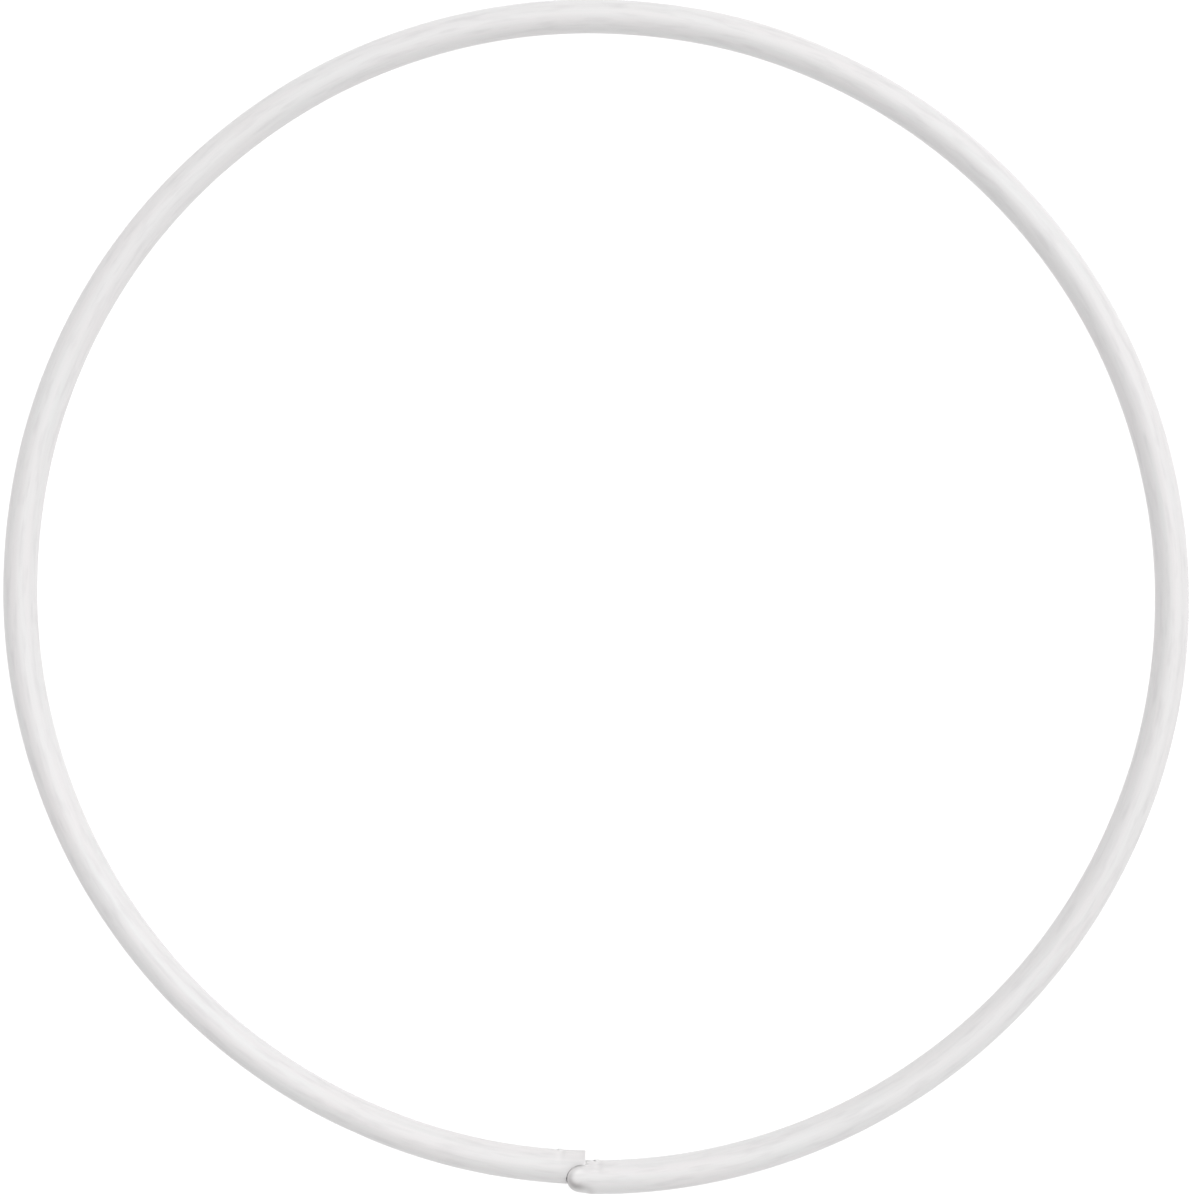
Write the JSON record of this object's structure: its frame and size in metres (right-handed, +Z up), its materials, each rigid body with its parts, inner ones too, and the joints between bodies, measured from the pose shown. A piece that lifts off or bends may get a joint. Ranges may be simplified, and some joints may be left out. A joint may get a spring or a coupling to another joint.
{
  "type": "rhythmic hoop",
  "caption": "Round gymnastics hoop: one plastic tube bent into a ring, its ends slightly out of line, notched into each other and pinned to a plug inside.",
  "frame": {"origin": "on the floor under the centre of the ring, which lies flat", "axes": "+Z up, square to the ring's plane; -Y from the centre towards the joint; +X from the left-hand end of the tube towards the right-hand one"},
  "size_m": [0.7, 0.7027, 0.02],
  "materials": {
    "tube_plastic": "satin",
    "plug_plastic": "matte",
    "pin_steel": "satin"
  },
  "bodies": {
    "root": {"hoop_tube": "tube_plastic", "joint_plug": "plug_plastic", "joint_pin_left": "pin_steel", "joint_pin_right": "pin_steel"}
  },
  "joints": []
}
